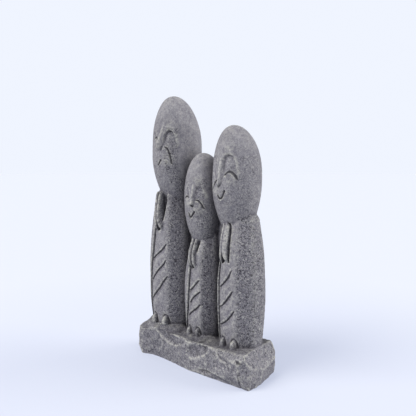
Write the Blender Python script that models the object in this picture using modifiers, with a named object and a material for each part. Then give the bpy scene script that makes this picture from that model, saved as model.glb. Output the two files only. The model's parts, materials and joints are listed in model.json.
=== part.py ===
"""Three jizo figures on one rough rock, carved as a single stone.

Metres, +Z up, the faces look along -Y. The origin is on the underside, below the middle of the
statue's box. Blocks for the rock, heads, robes, sleeves and feet are laid over one another,
fused to one skin, carved, and cut flat below.
"""

import math
from collections import namedtuple

import bmesh
import bpy
import numpy as np
from mathutils import Vector

NAME = "three_jizo_on_rock"
STONE_COLOUR = (0.20, 0.19, 0.20, 1.0)

# The rock: its height, how far its top rises behind the tall figure and falls before it, and how
# far it reaches beyond the robes and bellies out at its ends
ROCK_HEIGHT = 0.066
ROCK_RISE = 0.015
ROCK_FALL = 0.007
LEFT_MARGIN = 0.0095
RIGHT_MARGIN = 0.017
FRONT_MARGIN = 0.0085
BACK_MARGIN = 0.0005
LEFT_BELLY = 0.010
RIGHT_BELLY = 0.002

# The stone left standing between neighbours, from front to back and across
WEB_DEPTH = 0.026
WEB_WIDTH = 0.044
WEB_SET_BACK = 0.010

# The figures stand in a row along X. gap is the space to the left neighbour's robe. It, height
# above the rock, head, robe, mound and groove_width are real sizes. The rest are shares: web, how
# high up the figure it is joined to its left neighbour, jaw, how far the chin is drawn in,
# chin_drop, how far down the head reaches below its centre, chin_lean, how much its front hangs
# forward, left, the robe's left half against its right, taper, how much the robe narrows to the
# neck on its left, neck_back, how much its front falls back to the neck, feet, sleeves, groove,
# line and folds of the robe across its half-width and up its height, face marks of the head's
# half-width from its centre, with roll in degrees. mound is how high the rock stands up before the
# robe, and a sleeve is where its top and its tip lie across, its half-width and where its tip is up
# the height.
Figure = namedtuple(
    "Figure",
    "gap web height head_width head_depth robe_width robe_depth head_shift jaw chin_drop chin_lean"
    " left taper neck_back mound feet sleeves groove groove_width line folds eyes nose mouth x",
    defaults=(0.0,),
)
TALL = Figure(
    gap=0.0, web=0.0, height=0.517, head_width=0.105, head_depth=0.117,
    robe_width=0.108, robe_depth=0.108, head_shift=0.0075, jaw=0.36,
    chin_drop=0.262, chin_lean=0.18, left=1.0, taper=0.0, neck_back=0.0, mound=0.013, feet=(-0.30, 0.31),
    sleeves=((-0.30, -0.13, 0.105, 0.426), (-0.09, 0.14, 0.105, 0.433)),
    groove=(0.14, 0.12), groove_width=0.0065,
    line=(-0.31, -0.66), folds=((0.300, 0.375), (0.220, 0.305), (0.133, 0.232)),
    eyes=((-0.17, 0.50, -5), (0.46, -0.10, -46)), nose=((0.26, 0.72), (0.05, 0.06)),
    mouth=(0.06, -0.52, 22),
)
CHILD = Figure(
    gap=0.0, web=0.86, height=0.390, head_width=0.088, head_depth=0.098,
    robe_width=0.087, robe_depth=0.090, head_shift=-0.0015, jaw=0.12,
    chin_drop=0.290, chin_lean=0.26, left=1.0, taper=0.28, neck_back=0.25, mound=0.006, feet=(-0.29, 0.26),
    sleeves=((-0.30, -0.20, 0.100, 0.380), (-0.02, 0.13, 0.105, 0.382)),
    groove=(0.16, 0.13), groove_width=0.0038,
    line=(-0.22, -0.54), folds=((0.260, 0.318), (0.188, 0.254), (0.114, 0.187)),
    eyes=((-0.26, -0.05, 10), (0.48, -0.30, -38)), nose=((0.15, 0.50), (0.15, -0.40)),
    mouth=(0.08, -0.90, 8),
)
SHORT = Figure(
    gap=0.0045, web=0.67, height=0.4435, head_width=0.098, head_depth=0.106,
    robe_width=0.096, robe_depth=0.095, head_shift=-0.0105, jaw=0.20,
    chin_drop=0.262, chin_lean=0.46, left=0.87, taper=0.38, neck_back=0.10, mound=0.002, feet=(-0.24, 0.32),
    sleeves=((-0.37, -0.31, 0.100, 0.379), (-0.15, -0.02, 0.195, 0.392)),
    groove=(0.05, 0.09), groove_width=0.0028,
    line=(-0.46, -0.54), folds=((0.278, 0.352), (0.186, 0.266), (0.106, 0.178)),
    eyes=((-0.40, -0.34, 40), (0.45, 0.10, -14)), nose=((-0.02, 0.60), (-0.06, -0.29)),
    mouth=(0.04, -0.80, 14),
)

# Proportions of a figure, as shares of its height above the rock
HEAD_CENTRE = 0.769
HEAD_RISE = 0.231
NECK = 0.562
COLLAR = 0.622

# The head leans its chin down and its crown forward, by these shares of its half-depth
CHIN_LEAN = 0.18
CROWN_LEAN = 0.17

# The robe is widest at ROBE_WIDEST of its height, and loses these shares of its width above and
# below. Its side towards the front right is dressed flat, at SIDE_FLAT of its half-width.
ROBE_WIDEST = 0.42
ROBE_FOOT_LOSS = 0.12
ROBE_NECK_LOSS = 0.25
SIDE_FLAT = 0.975
SIDE_FLAT_TURN = -40

# How deep and how wide the carving is, each width from the middle of a mark to its edge
EYE_DEPTH, EYE_WIDTH = 0.0038, 0.0018
MOUTH_DEPTH, MOUTH_WIDTH = 0.0042, 0.0020
SOCKET_DEPTH = 0.0062
NOSE_HEIGHT = 0.0048
FOLD_DEPTH, FOLD_LIP, FOLD_RUN = 0.0042, 0.0012, 0.013
LINE_DEPTH, LINE_WIDTH = 0.0046, 0.0026
NOTCH_DEPTH, NOTCH_WIDTH = 0.0060, 0.0028
GROOVE_DEPTH = 0.0120
SLEEVE_SET = 0.002
SLEEVE_BEND = 2.5
HEAD_SET = 0.001
FLAKE_REACH = 0.016

# How the skin is made
GRAIN = 0.0021
TRIANGLES = 9400


def stand_in_row(figures):
    """The figures at their places along X, each beside the one before it."""
    row = [figures[0]]
    for figure in figures[1:]:
        before = row[-1]
        step = (before.robe_width + figure.robe_width) / 2 + figure.gap
        row.append(figure._replace(x=before.x + step))
    return row


FIGURES = stand_in_row((TALL, CHILD, SHORT))
DEEPEST = max(figure.robe_depth for figure in FIGURES)
ROCK_LEFT = FIGURES[0].x - FIGURES[0].robe_width / 2 - LEFT_MARGIN
ROCK_RIGHT = FIGURES[-1].x + FIGURES[-1].robe_width / 2 + RIGHT_MARGIN
ROCK_LENGTH = ROCK_RIGHT - ROCK_LEFT
ROCK_DEPTH = FRONT_MARGIN + DEEPEST + BACK_MARGIN
ROCK_X = (ROCK_LEFT + ROCK_RIGHT) / 2
# The rock's middle is at y = 0
FIGURE_Y = (FRONT_MARGIN - BACK_MARGIN) / 2


def ease(value, low, high):
    """Goes smoothly from 0 at low to 1 at high."""
    share = np.clip((value - low) / (high - low), 0.0, 1.0)
    return share * share * (3 - 2 * share)


def fullness(z, power):
    """What turns the ring of a round ball at height z into the ring of a fuller one."""
    z = min(abs(z), 0.9999)
    return (1 - z**power) ** (1 / power) / math.sqrt(1 - z * z)


def squareness(x, y, power):
    """What turns a point of a circle into one of a rounded square."""
    across = math.hypot(x, y)
    if across < 1e-9:
        return 1.0
    x, y = abs(x / across), abs(y / across)
    return (x**power + y**power) ** (-1 / power)


def side_flat(x, y, ring):
    """A ring's size in the direction of x and y once its front right side is dressed flat."""
    turn = math.radians(SIDE_FLAT_TURN)
    towards = (x * math.cos(turn) + y * math.sin(turn)) / max(math.hypot(x, y), 1e-9)
    if towards < 0.3:
        return ring
    flat = SIDE_FLAT / towards
    return (ring**-18 + flat**-18) ** (-1 / 18)


def robe_share(t):
    """Half-width of the robe at share t of its height, over its widest half-width."""
    if t < ROBE_WIDEST:
        return 1 - ROBE_FOOT_LOSS * ((ROBE_WIDEST - max(t, 0)) / ROBE_WIDEST) ** 1.8
    return 1 - ROBE_NECK_LOSS * ((min(t, 1) - ROBE_WIDEST) / (1 - ROBE_WIDEST)) ** 2


def up(figure, share):
    """The height at a share of the figure's height above the rock."""
    return ROCK_HEIGHT + share * figure.height


def robe_front(figure, z):
    """How far the robe's front stands before the figure's axis at height z."""
    t = (z - ROCK_HEIGHT) / (NECK * figure.height)
    fall = 1 - figure.neck_back * ease(t, 0.8, 1)
    return robe_share(t) * fall * figure.robe_depth / 2


def head_centre(figure):
    return Vector((figure.x + figure.head_shift, FIGURE_Y - HEAD_SET, up(figure, HEAD_CENTRE)))


def add_ball(bm, place, segments=48, rings=40):
    """Adds a ball whose points are put where place(x, y, z) says, from the unit ball."""
    made = bmesh.ops.create_uvsphere(bm, u_segments=segments, v_segments=rings, radius=1)
    for vert in made["verts"]:
        vert.co = place(*vert.co)


def add_head(bm, figure):
    centre = head_centre(figure)

    def place(x, y, z):
        rise = HEAD_RISE if z > 0 else figure.chin_drop
        full = fullness(z, 2.06 if z > 0 else 2.25)
        deep = y * full * figure.head_depth / 2
        if deep < 0:
            deep *= 1 - figure.jaw * ease(-z, 0.1, 0.95)
        deep -= CROWN_LEAN * max(z, 0) ** 2 * figure.head_depth / 2
        lean = (CHIN_LEAN if y > 0 else figure.chin_lean) * (1 - z) / 2
        return centre + Vector((
            x * full * figure.head_width / 2, deep, z * rise * figure.height + lean * deep
        ))

    add_ball(bm, place)


def add_robe(bm, figure):
    """The robe: a slender barrel with rounded-square rings, closed over under the head."""
    low = ROCK_HEIGHT / 2
    neck = up(figure, NECK)
    top = up(figure, COLLAR)

    def place(x, y, z):
        height = low + (math.asin(max(-1, min(1, z))) / math.pi + 0.5) * (top - low)
        across = math.hypot(x, y)
        if across < 1e-6:
            return Vector((figure.x, FIGURE_Y, height))
        share = robe_share((height - ROCK_HEIGHT) / (neck - ROCK_HEIGHT)) / across
        if height > neck:
            share *= math.sqrt(max(0, 1 - ((height - neck) / (top - neck)) ** 2))
        share *= side_flat(x, y, squareness(x, y, 2.7 if y < 0 else 2.3))
        t = (height - ROCK_HEIGHT) / (neck - ROCK_HEIGHT)
        side = 1 if x > 0 else figure.left * (1 - figure.taper * ease(t, 0.5, 1))
        fall = 1 if y > 0 else 1 - figure.neck_back * ease(t, 0.8, 1)
        return Vector((
            figure.x + x * share * side * figure.robe_width / 2,
            FIGURE_Y + y * share * fall * figure.robe_depth / 2,
            height,
        ))

    add_ball(bm, place, rings=60)


def add_sleeve(bm, figure, across, tip_across, half_width, tip):
    """One long drop of sleeve, hanging from under the chin down the front of the robe."""
    high = up(figure, NECK + 0.02)
    low = up(figure, tip)
    wide = half_width * figure.robe_width / 2
    proud = 0.19 * figure.robe_depth / 2

    def place(x, y, z):
        height = (high + low) / 2 + z * (high - low) / 2
        full = fullness(z, 2.8) * (1 - 0.15 * z)
        middle = across + (tip_across - across) * ((1 - z) / 2) ** SLEEVE_BEND
        return Vector((
            figure.x + middle * figure.robe_width / 2 + x * full * wide,
            FIGURE_Y - robe_front(figure, height) + SLEEVE_SET + y * full * proud,
            height,
        ))

    add_ball(bm, place, segments=20, rings=30)


def add_foot(bm, figure, across):
    """The toes of one foot, peeping out below the hem."""
    width = figure.robe_width
    centre = Vector((
        figure.x + across * width / 2,
        FIGURE_Y - robe_front(figure, ROCK_HEIGHT) - 0.012 * width,
        ROCK_HEIGHT + figure.mound + 0.05 * width,
    ))

    def place(x, y, z):
        return centre + Vector((x * 0.068, y * 0.088, z * 0.115)) * width

    add_ball(bm, place, segments=16, rings=12)


def add_web(bm, left, right):
    """The stone left between two neighbours, from the rock up to where their heads touch."""
    low, high = ROCK_HEIGHT / 2, up(right, right.web)
    middle = (left.x + left.robe_width / 2 + right.x - right.robe_width / 2) / 2

    def place(x, y, z):
        full = fullness(z, 5)
        return Vector((
            middle + x * full * WEB_WIDTH / 2,
            FIGURE_Y + WEB_SET_BACK + y * full * WEB_DEPTH / 2,
            (low + high) / 2 + z * (high - low) / 2,
        ))

    add_ball(bm, place, segments=24)


def rock_top(x, y):
    """Height of the rock's rough upper side at a place from its middle, higher before the robes."""
    at_left = ease(-x, 0.25 * ROCK_LENGTH, 0.48 * ROCK_LENGTH)
    rise = ROCK_RISE * at_left * ease(y, -0.3 * ROCK_DEPTH, 0)
    before_tall = ease(-x, 0.2 * ROCK_LENGTH, 0.42 * ROCK_LENGTH)
    fall = ROCK_FALL * before_tall * ease(-y, 0.3 * ROCK_DEPTH, 0.5 * ROCK_DEPTH)
    for figure in FIGURES:
        across = (x + ROCK_X - figure.x) / (figure.robe_width / 2)
        out = math.hypot(across, (y - FIGURE_Y) / (figure.robe_depth / 2))
        mound = figure.mound * (1 - ease(out, 1.0, 1.35)) * ease(-y, 0, 0.2 * ROCK_DEPTH)
        rise = max(rise, mound)
    return ROCK_HEIGHT + rise - fall


def rock_front(x, share):
    """How far the rock's front juts out at x, at a share of the rock's height."""
    out = 0.055 * ROCK_DEPTH * ease(x, 0.1 * ROCK_LENGTH, 0.43 * ROCK_LENGTH)
    back = 0.09 * ROCK_DEPTH * ease(-x, -0.06 * ROCK_LENGTH, 0.28 * ROCK_LENGTH)
    back *= 1 - ease(-x, 0.36 * ROCK_LENGTH, 0.46 * ROCK_LENGTH)
    return out - (1 - share) * back


def add_rock(bm):
    """The rough block below, with its edges and corners knocked off at odd angles."""
    block = bmesh.new()
    bmesh.ops.create_cube(block, size=1)
    bmesh.ops.subdivide_edges(block, edges=block.edges[:], cuts=23, use_grid_fill=True)
    low = -0.09 * ROCK_HEIGHT
    for vert in block.verts:
        x, y = vert.co.x * ROCK_LENGTH, vert.co.y * ROCK_DEPTH
        share = vert.co.z + 0.5
        belly = 1 - (2 * share - 1) ** 2
        x += (RIGHT_BELLY if x > 0 else -LEFT_BELLY) * belly * abs(2 * vert.co.x) ** 6
        y -= rock_front(x, share) * max(0, -2 * vert.co.y)
        vert.co = Vector((x, y, low + share * (rock_top(x, y) - low)))
    # Where each knock passes, as shares of half-length, half-depth and height, and how it faces
    knocks = (
        ((0.901, -1.111, 0.45), (0.9, -1, 0.05)),
        ((1.000, 0.624, 0.30), (1, 0.8, 0.0)),
        ((1.006, 0.068, 0.50), (1, 0.25, -0.20)),
        ((-1.037, -0.829, 0.45), (-1, -0.9, 0.1)),
        ((-0.814, 1.000, 0.45), (-0.6, 1, 0.2)),
        ((-0.988, 0.000, 1.12), (-1, 0.2, 0.8)),
        ((-1.006, 0.000, 0.18), (-1, -0.1, -0.7)),
        ((0.832, 0.863, 1.00), (1, 0.15, 0.58)),
        ((1.006, 0.000, 0.12), (1, 0.1, -0.5)),
        ((-0.370, -0.949, 1.136), (-0.10, -0.9, 1)),
        ((0.470, -0.983, 1.00), (0.06, -1, 0.8)),
        ((0.590, -1.068, 0.21), (0.03, -1, -0.55)),
        ((0.000, 0.949, 1.00), (0, 1, 0.8)),
    )
    size = Vector((ROCK_LENGTH / 2, ROCK_DEPTH / 2, ROCK_HEIGHT))
    for point, facing in knocks:
        parts = block.verts[:] + block.edges[:] + block.faces[:]
        cut = bmesh.ops.bisect_plane(
            block, geom=parts, plane_co=size * Vector(point), plane_no=facing, clear_outer=True
        )
        rim = [part for part in cut["geom_cut"] if isinstance(part, bmesh.types.BMEdge)]
        if rim:
            bmesh.ops.edgeloop_fill(block, edges=rim)
    for vert in block.verts:
        vert.co.x += ROCK_X
    mesh = bpy.data.meshes.new("rock")
    block.to_mesh(mesh)
    block.free()
    bm.from_mesh(mesh)
    bpy.data.meshes.remove(mesh)


def blank():
    """All blocks laid over one another and fused to one closed skin."""
    bm = bmesh.new()
    add_rock(bm)
    for figure in FIGURES:
        add_head(bm, figure)
        add_robe(bm, figure)
        for sleeve in figure.sleeves:
            add_sleeve(bm, figure, *sleeve)
        for across in figure.feet:
            add_foot(bm, figure, across)
    for left, right in zip(FIGURES, FIGURES[1:]):
        add_web(bm, left, right)
    mesh = bpy.data.meshes.new(NAME)
    bm.to_mesh(mesh)
    bm.free()
    statue = bpy.data.objects.new(NAME, mesh)
    home = bpy.data.collections.new("three jizo statue")
    bpy.context.scene.collection.children.link(home)
    home.objects.link(statue)
    fuse = statue.modifiers.new("fuse", "REMESH")
    fuse.mode = "VOXEL"
    fuse.voxel_size = GRAIN
    soften = statue.modifiers.new("soften", "SMOOTH")
    soften.factor = 0.5
    soften.iterations = 3
    apply_modifiers(statue)
    return statue


def apply_modifiers(obj):
    """Replaces the object's mesh by what its modifiers make of it."""
    graph = bpy.context.evaluated_depsgraph_get()
    mesh = bpy.data.meshes.new_from_object(obj.evaluated_get(graph))
    obj.modifiers.clear()
    obj.data = mesh


def path_distance(x, z, path):
    """Distance in the front view from each point to a bent line, and how far along it is."""
    best = np.full(len(x), np.inf)
    along = np.zeros(len(x))
    for index in range(len(path) - 1):
        (ax, az), (bx, bz) = path[index], path[index + 1]
        dx, dz = bx - ax, bz - az
        share = np.clip(((x - ax) * dx + (z - az) * dz) / (dx * dx + dz * dz), 0, 1)
        gap = np.hypot(x - ax - share * dx, z - az - share * dz)
        closer = gap < best
        best = np.where(closer, gap, best)
        along = np.where(closer, (index + share) / (len(path) - 1), along)
    return best, along


def arc(centre, half, rise, roll, steps=9):
    """A bow around a centre: up in the middle for a positive rise, turned by roll degrees."""
    turn = math.radians(roll)
    points = []
    for step in range(steps):
        s = 2 * step / (steps - 1) - 1
        x, z = s * half, rise * (1 - s * s) - rise / 2
        points.append((
            centre[0] + x * math.cos(turn) - z * math.sin(turn),
            centre[1] + x * math.sin(turn) + z * math.cos(turn),
        ))
    return points


def groove(x, z, path, depth, half_width, taper=0.15):
    """Depth of a rounded groove along a path, running out at its ends."""
    gap, along = path_distance(x, z, path)
    ends = ease(along, 0, taper) * ease(1 - along, 0, taper) if taper else 1
    return depth * ends * np.exp(-((gap / half_width) ** 2))


def face_relief(figure, x, z):
    """How far the face is carved in, at front-view points measured from the head's centre."""
    unit = figure.head_width / 2
    cut = np.zeros(len(x))
    brow, tip = (tuple(value * unit for value in end) for end in figure.nose)
    for eye_x, eye_z, roll in figure.eyes:
        side = 1 if eye_x > tip[0] / unit else -1
        centre = (eye_x * unit, eye_z * unit)
        lean = math.atan2(brow[0] - tip[0], brow[1] - tip[1])
        hollow_x = (brow[0] + tip[0]) / 2 + side * 0.22 * unit
        hollow_z = (brow[1] + tip[1]) / 2 + 0.12 * unit
        a = (x - hollow_x) * math.cos(lean) - (z - hollow_z) * math.sin(lean)
        b = (x - hollow_x) * math.sin(lean) + (z - hollow_z) * math.cos(lean)
        reach = (a / (0.20 * unit)) ** 2 + (b / (0.42 * unit)) ** 2
        cut += SOCKET_DEPTH * np.exp(-(reach**1.5))
        lid = arc(centre, 0.25 * unit, 0.17 * unit, roll)
        cut += groove(x, z, lid, EYE_DEPTH, EYE_WIDTH)
    gap, along = path_distance(x, z, (brow, tip))
    ridge_width = 0.085 * unit * (1 + 0.7 * along)
    cut -= NOSE_HEIGHT * (0.25 + 0.75 * along) * np.exp(-((gap / ridge_width) ** 2))
    mouth_x, mouth_z, roll = figure.mouth
    smile = arc((mouth_x * unit, mouth_z * unit), 0.17 * unit, -0.17 * unit, roll)
    cut += groove(x, z, smile, MOUTH_DEPTH, MOUTH_WIDTH)
    return cut


def robe_relief(figure, x, z):
    """How far the robe's front is carved in, at front-view points measured from the axis."""
    half = figure.robe_width / 2
    far, near = figure.sleeves
    groove_x = [share * half for share in figure.groove]
    deep = ((groove_x[0], up(figure, NECK + 0.01)), (groove_x[1], up(figure, near[3] + 0.01)))
    cut = groove(x, z, deep, GROOVE_DEPTH, figure.groove_width * 0.62, 0.12)
    # The notch lies between the far sleeve's right side and the near one's left, by their tips
    notch_x = (far[1] + far[2] + near[1] - near[2]) * half / 2
    notch = ((notch_x, up(figure, near[3] + 0.025)), (notch_x, up(figure, near[3])))
    cut += groove(x, z, notch, NOTCH_DEPTH, NOTCH_WIDTH, 0)
    line_top, line_foot = (share * half for share in figure.line)
    top_z, foot_z = up(figure, far[3] + 0.01), up(figure, 0.03)
    line = ((line_top, top_z), (line_foot, foot_z))
    cut += groove(x, z, line, LINE_DEPTH, LINE_WIDTH, 0.03)
    for start, end in figure.folds:
        cut += fold(x, z, line, (up(figure, start), 0.44 * half, up(figure, end)))
    return cut


def fold(x, z, line, ends):
    """A fold is a step: the cloth above laps over the cloth below, which is cut back."""
    (line_top, top_z), (line_foot, foot_z) = line
    start_z, end_x, end_z = ends
    start_x = line_top + (top_z - start_z) / (top_z - foot_z) * (line_foot - line_top)
    slope = (end_z - start_z) / (end_x - start_x)
    below = (start_z + (x - start_x) * slope - z) / math.hypot(1, slope)
    run_out = 1 - ease(x, end_x - 6 * FOLD_LIP, end_x + 2 * FOLD_LIP)
    run_out *= ease(x, start_x - 2 * FOLD_LIP, start_x + 2 * FOLD_LIP)
    edge = ease(below, -FOLD_LIP, FOLD_LIP) * (1 - ease(below, FOLD_LIP, FOLD_RUN))
    return FOLD_DEPTH * run_out * edge


def rock_relief(x, y, z):
    """How far flakes have broken off the rock's front and ends."""
    half_depth = ROCK_DEPTH / 2
    front = 1 - ease(y, -half_depth + FLAKE_REACH / 4, -half_depth + 1.25 * FLAKE_REACH)
    cut = np.zeros(len(x))
    # Flakes on the front, as shares of the rock's length and height: middle, half-sizes, then the
    # tilt in degrees and the depth in metres
    flakes = (
        (-0.23, 0.67, 0.143, 0.21, -16, 0.0060),
        (0.12, 0.85, 0.100, 0.21, -6, 0.0055),
        (0.34, 0.73, 0.080, 0.18, 12, 0.0035),
        (-0.03, 0.30, 0.093, 0.18, 10, 0.0030),
        (-0.40, 0.45, 0.062, 0.27, 35, 0.0035),
        (0.45, 0.89, 0.019, 0.09, 0, 0.0040),
    )
    for middle, height, long, high, tilt, depth in flakes:
        turn = math.radians(tilt)
        across = x - ROCK_X - middle * ROCK_LENGTH
        up_by = z - height * ROCK_HEIGHT
        a = (across * math.cos(turn) + up_by * math.sin(turn)) / (long * ROCK_LENGTH)
        b = (up_by * math.cos(turn) - across * math.sin(turn)) / (high * ROCK_HEIGHT)
        cut += front * depth * (1 - ease(a * a + b * b, 0.55, 1.15))
    return cut


def carve(statue):
    """Cuts faces, cloth and flakes into the fused skin."""
    mesh = statue.data
    count = len(mesh.vertices)
    points = np.empty(count * 3)
    normals = np.empty(count * 3)
    mesh.vertices.foreach_get("co", points)
    mesh.vertex_normals.foreach_get("vector", normals)
    points = points.reshape(-1, 3)
    normals = normals.reshape(-1, 3)
    x, y, z = points.T
    for figure in FIGURES:
        centre = head_centre(figure)
        head = (np.abs(x - centre.x) < 0.5 * figure.head_width) & (y < centre.y)
        head &= (z > up(figure, NECK + 0.01)) & (normals[:, 1] < -0.25)
        inward = face_relief(figure, x[head] - centre.x, z[head] - centre.z)
        points[head, 1] += inward * ease(-normals[head, 1], 0.25, 0.55)
        robe = (np.abs(x - figure.x) < 0.5 * figure.robe_width) & (y < FIGURE_Y)
        robe &= (z < up(figure, NECK + 0.015)) & (z > up(figure, 0.015))
        robe &= normals[:, 1] < -0.1
        inward = robe_relief(figure, x[robe] - figure.x, z[robe])
        points[robe, 1] += inward * ease(-normals[robe, 1], 0.1, 0.5)
    rock = z < ROCK_HEIGHT + 0.004
    depth = rock_relief(x[rock], y[rock], z[rock])
    points[rock] -= normals[rock] * depth[:, None]
    mesh.vertices.foreach_set("co", points.ravel())
    mesh.update()


def finish(statue):
    """Thins the skin, cuts the underside flat and stands it on the origin."""
    thin = statue.modifiers.new("thin", "DECIMATE")
    thin.ratio = TRIANGLES / sum(len(face.vertices) - 2 for face in statue.data.polygons)
    apply_modifiers(statue)
    bm = bmesh.new()
    bm.from_mesh(statue.data)
    parts = bm.verts[:] + bm.edges[:] + bm.faces[:]
    cut = bmesh.ops.bisect_plane(
        bm, geom=parts, plane_co=(0, 0, 0), plane_no=(0, 0, -1), clear_outer=True
    )
    rim = [part for part in cut["geom_cut"] if isinstance(part, bmesh.types.BMEdge)]
    bmesh.ops.edgeloop_fill(bm, edges=rim)
    spans = [[vert.co[axis] for vert in bm.verts] for axis in (0, 1)]
    middle = Vector([(min(span) + max(span)) / 2 for span in spans] + [0])
    for vert in bm.verts:
        vert.co -= middle
    bmesh.ops.recalc_face_normals(bm, faces=bm.faces[:])
    bm.to_mesh(statue.data)
    bm.free()
    stone = bpy.data.materials.new("stone")
    stone.use_nodes = True
    shader = stone.node_tree.nodes["Principled BSDF"]
    shader.inputs["Base Color"].default_value = STONE_COLOUR
    shader.inputs["Roughness"].default_value = 0.9
    shader.inputs["Metallic"].default_value = 0.0
    statue.data.materials.clear()
    statue.data.materials.append(stone)
    statue.data.shade_smooth()
    statue.data.set_sharp_from_angle(angle=math.radians(50))


for old in list(bpy.data.objects):
    bpy.data.objects.remove(old)
jizo = blank()
carve(jizo)
finish(jizo)
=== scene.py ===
"""A stone statue of three jizo figures standing on one rough rock, with its carved surface,
weathered finish, pale studio floor, soft light and camera."""

import json
import math
import random
from collections import namedtuple

import bpy
import numpy as np
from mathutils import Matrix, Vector, noise
from mathutils.bvhtree import BVHTree
from mathutils.kdtree import KDTree

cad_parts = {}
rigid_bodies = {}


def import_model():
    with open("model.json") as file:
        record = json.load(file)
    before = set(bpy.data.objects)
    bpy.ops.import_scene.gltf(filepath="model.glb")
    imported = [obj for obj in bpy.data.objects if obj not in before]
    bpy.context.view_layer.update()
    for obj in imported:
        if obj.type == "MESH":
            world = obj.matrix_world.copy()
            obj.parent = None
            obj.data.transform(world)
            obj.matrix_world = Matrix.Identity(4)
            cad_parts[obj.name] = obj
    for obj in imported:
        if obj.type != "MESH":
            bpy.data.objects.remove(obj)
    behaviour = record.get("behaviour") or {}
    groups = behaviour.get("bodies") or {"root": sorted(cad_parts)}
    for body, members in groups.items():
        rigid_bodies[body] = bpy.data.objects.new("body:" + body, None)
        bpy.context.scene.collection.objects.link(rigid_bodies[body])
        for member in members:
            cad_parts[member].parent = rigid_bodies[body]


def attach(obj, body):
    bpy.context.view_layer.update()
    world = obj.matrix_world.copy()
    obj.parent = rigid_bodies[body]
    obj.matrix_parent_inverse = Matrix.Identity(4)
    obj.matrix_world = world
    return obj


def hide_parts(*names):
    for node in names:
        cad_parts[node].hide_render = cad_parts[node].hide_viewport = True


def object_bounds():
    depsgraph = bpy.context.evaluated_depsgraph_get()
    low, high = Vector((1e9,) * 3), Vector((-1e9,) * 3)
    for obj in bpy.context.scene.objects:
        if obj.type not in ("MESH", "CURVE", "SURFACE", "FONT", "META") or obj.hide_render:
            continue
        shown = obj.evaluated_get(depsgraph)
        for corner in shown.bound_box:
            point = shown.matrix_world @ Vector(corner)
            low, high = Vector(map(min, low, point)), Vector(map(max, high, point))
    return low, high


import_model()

cad_box = [[float(value) for value in corner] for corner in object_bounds()]

# sizes, in metres

ROCK_LEFT, ROCK_RIGHT = -0.161, 0.161
ROCK_DEPTH = 0.117
ROCK_HEIGHT = 0.066
ROCK_RISE = 0.015
ROCK_FALL = 0.007
LEFT_BELLY = 0.010
RIGHT_BELLY = 0.002
GROUND_SPARE = 0.006
FIGURE_Y = 0.004

# The stone left standing between neighbours
WEB_SET_BACK = 0.010
WEB_HALF_DEPTH = 0.013
WEB_HALF_WIDTH = 0.026

# The grain of the skin, how many triangles it is thinned to, and how far and with how many rays
# the stone round a point is felt for its painted shade
GRAIN = 0.00125
TRIANGLES = 192000
OCCLUSION_REACH = 0.07
OCCLUSION_RAYS = 22

# How deep the gap behind a near sleeve is, in millimetres
GAP_DEPTH = 15

# Proportions of a figure, as shares of its height above the rock
HEAD_CENTRE = 0.769
HEAD_RISE = 0.231
NECK = 0.562

# The head leans its chin down and its crown forward, by these shares of its half-depth
CHIN_LEAN = 0.18
CROWN_LEAN = 0.17

# Where the robe's front right side is dressed flat, as a share of its radius and in degrees
SIDE_FLAT = 0.975
SIDE_FLAT_TURN = -40

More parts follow.
